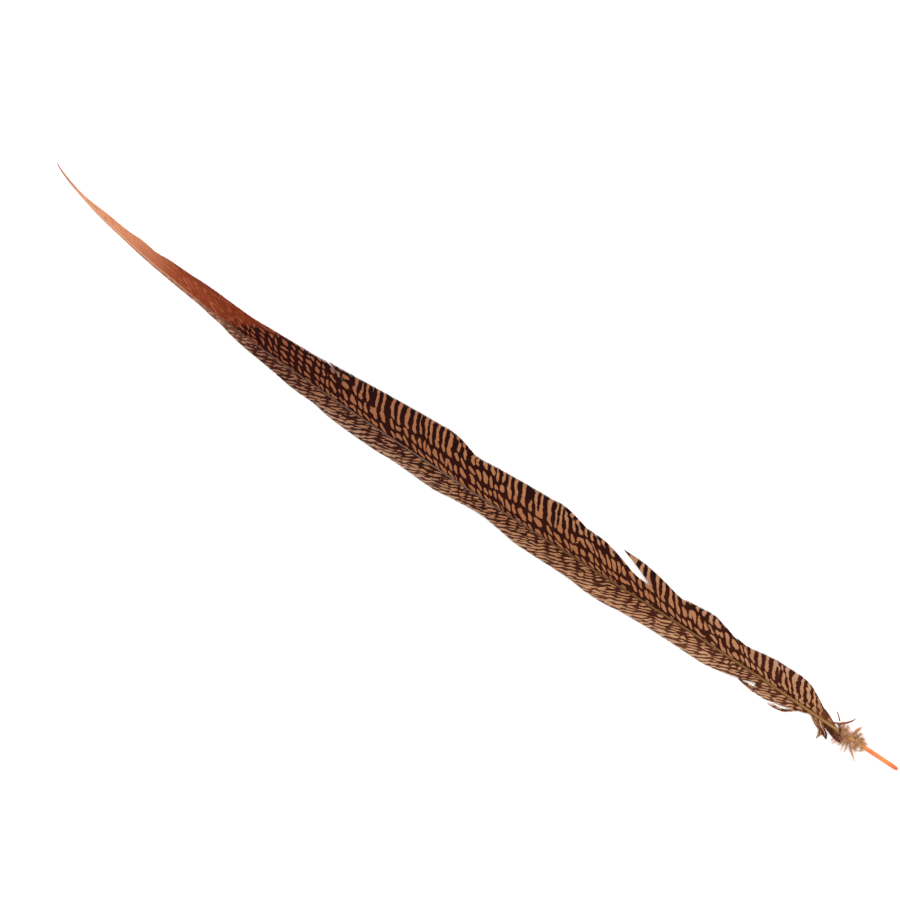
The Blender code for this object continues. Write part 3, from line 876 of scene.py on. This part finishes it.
def wide_marks(g, s, y):
    """The wide vane's marks: rows of spots near the shaft, bars further out."""
    slow_s, slow_y, drift = g.wander(s, y, 0.09, 4.0)
    fast_s, fast_y, chance = g.wander(s, y, 0.4, 1.2)
    ruffled = g.step(s, 568, 592, 1, 3)
    s1 = g.add(s, slow_s, g.times(fast_s, ruffled))
    y1 = g.add(y, slow_y, g.times(fast_y, ruffled))
    fading = g.times(BAR_LEAN, g.math("EXPONENT", g.times(y1, -0.2)))
    lean = g.less(g.add(g.times(y1, BAR_SLANT), BAR_LEAN), fading)
    for at, spread, sweep in SWEPT:
        near = g.times(g.step(s, at - spread, at), g.step(s, at, at + spread, 1, 0))
        lean = g.add(lean, g.times(near, g.step(y, 9, 22), sweep))
    along = g.times(g.add(s1, lean), 1 / BAR_PERIOD)
    bars = ripple_phase(g, along, g.times(y1, 1 / BAR_RUN), 0.62)
    young = g.step(s, 190, 260, 1, 0)
    grown = g.math("LOGARITHM", g.add(1, g.times(y1, ROW_GROWTH)), math.e)
    row = g.blend(young, g.times(grown, TURN / ROW_RATIO), g.times(y1, TURN / YOUNG_ROWS))
    rows = g.add(row, -0.6 * TURN, g.times(g.less(drift, 0.5), 9.0), g.times(s1, 0.02))
    outward = g.less(g.add(y, g.times(g.less(chance, 0.5), 6)), g.values_along(s, SPOTS_REACH))
    spotted = g.step(outward, -3, 3, 1, 0)
    old = g.step(s, 505, 560)
    limit = g.add(0.26, g.times(spotted, -0.2), g.times(young, 0.6), g.times(old, -0.12))
    return g.times(g.less(ripples(g, bars, rows, spotted), limit), MARK_SCALE)


def narrow_marks(g, s, y):
    """The narrow vane's marks: short slanting streaks."""
    slow_s, slow_y, _ = g.wander(s, y, 0.12, 1.4)
    fast_s, fast_y, _ = g.wander(s, y, 0.6, 0.5)
    along, across = turned(g, g.add(s, slow_s, fast_s), g.add(y, slow_y, fast_y), STREAK_ANGLE)
    p, q = g.times(along, 1 / STREAK_LENGTH), g.times(across, 1 / STREAK_GAP)
    streaks = ripple_phase(g, p, q, 0.9, math.pi / 2)
    cuts = ripple_phase(g, g.times(along, 1 / CUT_LENGTH), g.times(across, 1 / CUT_GAP), 0.8)
    limit = g.step(y, 2, 13, 0.3, -0.22)
    return g.times(g.less(ripples(g, streaks, cuts, CUT_DEPTH), limit), MARK_SCALE)


def rust_tip(g, s, y, colour):
    """The wide vane's plain tip and dusky base, laid over its marks."""
    edge = g.less(s, g.times(y, y, 0.15))
    wobble = g.times(g.less(g.noise(g.vector(s, y), 0.3), 0.5), 26)
    plain = g.colours_along(s, RUST_TIP)
    fleck = g.noise(g.vector(g.times(g.add(s, g.times(y, 2.2)), 0.25), g.times(y, 0.8)), 1.0)
    plain = g.mix(g.step(fleck, 0.5, 0.66, 0, 0.55), plain, RUST_FLECK)
    rim = g.times(g.step(y, 4, 12, 0, 0.45), g.step(s, 85, 110))
    plain = g.mix(rim, plain, RUST_RIM)
    dusky = g.step(g.less(s, g.times(y, 0.4)), 588, 600, 0, 0.45)
    colour = g.mix(dusky, colour, DUSKY_BASE)
    return g.mix(g.step(g.add(edge, wobble), 146, 160), plain, colour)


def barred_web(name, side):
    """The barred webs of the wide side, 1, with its plain tip, or of the narrow side, -1."""
    g = Graph(name)
    s, signed_y, v = g.attribute("lie")
    strand, clump, under = g.attribute("tone")
    y = g.times(signed_y, side)
    if side > 0:
        marks = wide_marks(g, s, y)
        outer = g.step(y, 8, 20)
        tables = (INNER_DARK, OUTER_DARK, INNER_LIGHT, OUTER_LIGHT)
    else:
        marks = narrow_marks(g, s, y)
        # Towards the narrow vane's rim its colours blend into the rim colours, which carry a
        # painted sheen.
        outer = g.step(y, 4, 12)
        tables = (NARROW_DARK, NARROW_RIM_SHEEN_DARK, NARROW_LIGHT, NARROW_RIM_SHEEN_LIGHT)
    near_dark, far_dark, near_light, far_light = (g.colours_along(s, table) for table in tables)
    dark = g.mix(outer, near_dark, far_dark)
    light = g.mix(outer, near_light, far_light)
    fringe = g.mix(0.5, g.mix(0.35, dark, light), FRINGE)
    start = g.step(s, 430, 560, -0.035, -0.075)
    colour = g.mix(g.step(marks, start, 0.01), dark, fringe)
    colour = g.mix(g.step(marks, 0.0, 0.05), colour, light)
    if side > 0:
        colour = rust_tip(g, s, y, colour)
    streak = g.noise(g.vector(g.times(strand, 40), g.times(v, 3)), 2.0)
    shade = g.add(0.79, g.times(streak, 0.2), g.times(clump, 0.08))
    shade = g.less(shade, g.times(under, 0.12))
    barbules = g.math("SINE", g.times(v, 420))
    rough = g.add(0.55, g.times(streak, 0.12))
    surface = g.shaded(colour, shade)
    return g.finish(surface, rough, barbules, 0.00002, Specular_IOR_Level=0.02)


def brown_barb(name, dark, light, tip):
    """Brown barbs, lighter and redder towards their tips."""
    g = Graph(name)
    _, _, v = g.attribute("lie")
    strand, _, _ = g.attribute("tone")
    patch = g.noise(g.vector(g.times(v, 3), g.times(strand, 9)), 1.3)
    colour = g.mix(g.step(patch, 0.35, 0.65), linear(*dark), linear(*light))
    colour = g.mix(g.times(g.step(v, 0.55, 1), 0.5), colour, linear(*tip))
    barbules = g.math("SINE", g.times(v, 300))
    return g.finish(colour, 0.7, barbules, 0.00002, Specular_IOR_Level=0.03)


def downy():
    """Soft tan and brown down with paler tips."""
    g = Graph("soft_down")
    s, y, v = g.attribute("lie")
    strand, _, _ = g.attribute("tone")
    patch = g.noise(g.vector(g.times(s, 0.35), g.times(y, 0.35)), 1.0)
    share = g.add(g.times(patch, 0.7), g.times(strand, 0.3))
    colour = g.mix(g.step(share, 0.3, 0.65), DOWN_BROWN, DOWN_TAN)
    colour = g.mix(g.times(v, 0.3), colour, DOWN_TIP)
    return g.finish(colour, 0.9, strand, 0.00001, Specular_IOR_Level=0.05)


# ---- shaft

SHAFT_COLOURS = [
    (0, (164, 88, 64)), (20, (228, 172, 134)), (60, (220, 164, 126)), (110, (178, 120, 88)),
    (150, (97, 66, 54)), (320, (114, 88, 74)), (390, (97, 64, 42)), (560, (132, 92, 48)),
    (610, (164, 118, 68)), (632, (226, 170, 100)), (639, (248, 122, 78)), (649, (248, 152, 90)),
    (660, (242, 104, 68))]
# Colour of the painted shade on the shaft's round sides.
SHAFT_SIDE_SHADE = linear(62, 28, 16)


def shaft_material():
    """Horny shaft: painted shade along its round sides in the webs, pale and orange at the quill.
    """
    g = Graph("horny_shaft")
    s, aside, turn = g.attribute("lie")
    colour = g.colours_along(s, SHAFT_COLOURS)
    # Painted shade: the shaft's round sides turn darker along the webs, fading out towards the
    # quill.
    edge = g.times(g.step(g.math("ABSOLUTE", aside), 0.4, 0.85), g.step(s, 600, 625, 0.85, 0))
    colour = g.mix(g.times(edge, g.step(s, 110, 170)), colour, SHAFT_SIDE_SHADE)
    shade = g.add(0.74, g.times(g.noise(g.vector(g.times(s, 0.2), g.times(turn, 6)), 2.0), 0.24))
    grain = g.noise(g.vector(g.times(s, 0.15), g.times(turn, 30)), 3.0)
    gloss = g.add(0.38, g.times(grain, 0.15))
    surface = g.shaded(colour, shade)
    return g.finish(surface, gloss, grain, 0.00004, Specular_IOR_Level=0.08)


def ring_faces(rings, sides):
    """Vertex numbers of the faces between rings, and their places in the unit square.

    The shaft is cut across into equal lengths, which lie above each other in the square.
    """
    i, k = np.meshgrid(np.arange(rings - 1), np.arange(sides), indexing="ij")
    after = (k + 1) % sides
    faces = np.stack((i * sides + k, i * sides + after, (i + 1) * sides + after,
                      (i + 1) * sides + k), axis=-1).reshape(-1, 4)
    step = SHAFT_BAKE_ROWS / (rings - 1)
    along = i * SHAFT_BAKE_ROWS / (rings - 1)
    row = np.minimum(np.floor(along), SHAFT_BAKE_ROWS - 1)
    left = along - row
    right = np.minimum(left + step, 1)
    used = 1 - 2 * SHAFT_BAKE_MARGIN
    low = (row + SHAFT_BAKE_MARGIN + used * k / sides) / SHAFT_BAKE_ROWS
    high = (row + SHAFT_BAKE_MARGIN + used * (k + 1) / sides) / SHAFT_BAKE_ROWS
    corners = ((left, low), (left, high), (right, high), (right, low))
    places = np.stack([np.stack(corner, axis=-1) for corner in corners], axis=-2)
    return faces, places.reshape(-1, 4, 2)


def add_shaft():
    """Rachis and calamus in one, round above, with a groove along the underside."""
    even = np.linspace(0, END_START, round(SHAFT_LENGTH / SHAFT_RING_STEP))
    s = np.concatenate((even, END_START + np.array(END_RINGS)))
    turn = np.linspace(0, TURN, SHAFT_SIDES, endpoint=False)
    half_width = smooth(SHAFT_HALF_WIDTH, s)[:, None]
    groove = GROOVE_DEPTH * np.clip((CALAMUS_START - s) / GROOVE_FADE, 0, 1)[:, None]
    rise = np.maximum(np.sin(turn), -FLAT_BELOW) * np.ones(half_width.shape)
    rise = rise + groove * np.clip((-np.sin(turn) - 0.94) / 0.06, 0, 1)
    y = half_width * np.cos(turn)
    z = shaft_middle(s)[:, None] + shaft_depth(s)[:, None] * rise
    s_grid = s[:, None] + 0 * y
    points = place(s_grid, y, z).reshape(-1, 3)
    mesh = mesh_from_faces("shaft", points, *ring_faces(*y.shape))
    lie = np.stack(np.broadcast_arrays(s_grid, y / half_width, np.sin(turn)), axis=-1)
    write_vectors(mesh, "lie", lie)
    close_ends(mesh)
    add_piece("smooth_shaft", mesh, shaft_material(), "shaft")


def close_ends(mesh):
    """Fills every open end of a mesh and turns all its faces outwards."""
    body = bmesh.new()
    body.from_mesh(mesh)
    open_edges = [edge for edge in body.edges if edge.is_boundary]
    bmesh.ops.holes_fill(body, edges=open_edges, sides=0)
    bmesh.ops.recalc_face_normals(body, faces=body.faces)
    body.to_mesh(mesh)
    body.free()


# ---- floor, light, camera


def add_floor():
    """A plain white surface just under the feather."""
    bpy.ops.mesh.primitive_plane_add(size=8, location=(0, 0, -0.0002))
    floor = bpy.context.object
    floor.name = "floor"
    g = Graph("white_surface")
    shade = g.add(0.9, g.times(g.noise(g.node("ShaderNodeTexCoord", {}).outputs[3], 3.0), 0.01))
    white = g.vector(shade, shade, shade)
    glow = {"Emission_Color": (1, 1, 1, 1), "Emission_Strength": 0.3}
    floor.data.materials.append(g.finish(white, 0.9, 0.5, 0.0, **glow))


def add_light():
    """Soft light from all round, and a wide lamp above the picture's upper left."""
    world = bpy.data.worlds.new("soft_white")
    world.use_nodes = True
    backdrop = world.node_tree.nodes["Background"]
    backdrop.inputs[0].default_value = (1, 1, 1, 1)
    backdrop.inputs[1].default_value = 0.9
    bpy.context.scene.world = world
    lamp = bpy.data.lights.new("wide_lamp", "AREA")
    lamp.size = 1.6
    lamp.energy = 34
    holder = bpy.data.objects.new("wide_lamp", lamp)
    holder.location = (-0.7, 0.9, 1.8)
    holder.rotation_euler = (math.radians(-27), math.radians(-21), 0)
    bpy.context.scene.collection.objects.link(holder)


def add_camera():
    """A camera straight above, turned as the picture is."""
    tip, end = place(0, 0, 0), place(SHAFT_LENGTH, 0, 0)
    ahead = (end - tip) / np.linalg.norm(end - tip)
    aside = np.array((-ahead[1], ahead[0], 0))
    target = tip + (PICTURE_CENTRE[0] * ahead + PICTURE_CENTRE[1] * aside) * MM
    lens = bpy.data.cameras.new("camera")
    lens.lens = CAMERA_LENS
    lens.sensor_width = CAMERA_SENSOR
    camera = bpy.data.objects.new("camera", lens)
    distance = PICTURE_WIDTH * MM * CAMERA_LENS / CAMERA_SENSOR
    camera.location = (target[0], target[1], distance)
    camera.rotation_euler = (0, 0, CAMERA_TURN)
    bpy.context.scene.collection.objects.link(camera)
    bpy.context.scene.camera = camera


# Webs as (name, guide barbs, side, slot).
WEBS = [("wide_vane_tip", WIDE_TIP_BARBS, 1, "rust_vane"),
        ("wide_vane_middle", WIDE_MIDDLE_BARBS, 1, "barred_vane"),
        ("wide_vane_base", WIDE_BASE_BARBS, 1, "barred_vane"),
        ("narrow_vane_main", NARROW_MAIN_BARBS, -1, "barred_vane"),
        ("narrow_vane_base", NARROW_BASE_BARBS, -1, "barred_vane")]
# Loose pieces as (name, material, slot, lines as add_bundle takes them).
LOOSE_PIECES = [
    ("short_loose_strand", "narrow", "barred_vane",
     [(bundle_path, SHORT_STRAND, 7, 0.42, 0.05, 0)]),
    ("hooked_loose_strand", "narrow", "barred_vane",
     [(bundle_path, HOOKED_STRAND, 6, 0.42, 0.05, 0)]),
    ("curled_barbs", "narrow", "barred_vane",
     [(fan_path, CURLED_EDGES, 28, 0.5, 0.02, CURL_NOTCH),
      (bundle_path, CURLED_FOOT, 5, 0.34, 0.05, 0)]),
    ("brown_base_barbs", "brown", "brown_barbs",
     [(fan_path, BROWN_EDGES, 18, 0.42, 0.2, 0), (bundle_path, CROSSING_BARBS, 5, 0.22, 0.15, 0)]),
    ("long_stray_barb", "russet", "brown_barbs",
     [(bundle_path, LONG_STRAY, 4, 0.4, 0.05, 0), (bundle_path, STRAY_FOOT, 6, 0.25, 0.3, 0)]),
    ("short_stray_barb", "russet", "brown_barbs",
     [(bundle_path, SHORT_STRAY, 3, 0.3, 0.1, 0)])]
DOWN = [("wide_side_down", WIDE_TUFTS, 1), ("narrow_side_down", NARROW_TUFTS, -1)]


def main():
    """Makes every piece, and then what the picture needs around them."""
    materials = {"wide": barred_web("barred_wide_web", 1),
                 "narrow": barred_web("barred_narrow_web", -1),
                 "brown": brown_barb("brown_barb", *BROWN_BARB),
                 "russet": brown_barb("russet_barb", *RUSSET_BARB)}
    add_shaft()
    for seed, (name, guides, side, slot) in enumerate(WEBS, 1):
        add_web(name, guides, side, materials["wide" if side > 0 else "narrow"], seed)
    for seed, (name, material, slot, lines) in enumerate(LOOSE_PIECES, 1 + len(WEBS)):
        add_bundle(name, lines, materials[material], seed)
    down = downy()
    for seed, (name, tufts, side) in enumerate(DOWN, 1 + len(WEBS) + len(LOOSE_PIECES)):
        add_down(name, tufts, side, down, seed)
    add_floor()
    add_light()
    add_camera()
    bpy.context.scene.view_settings.view_transform = "Standard"


main()
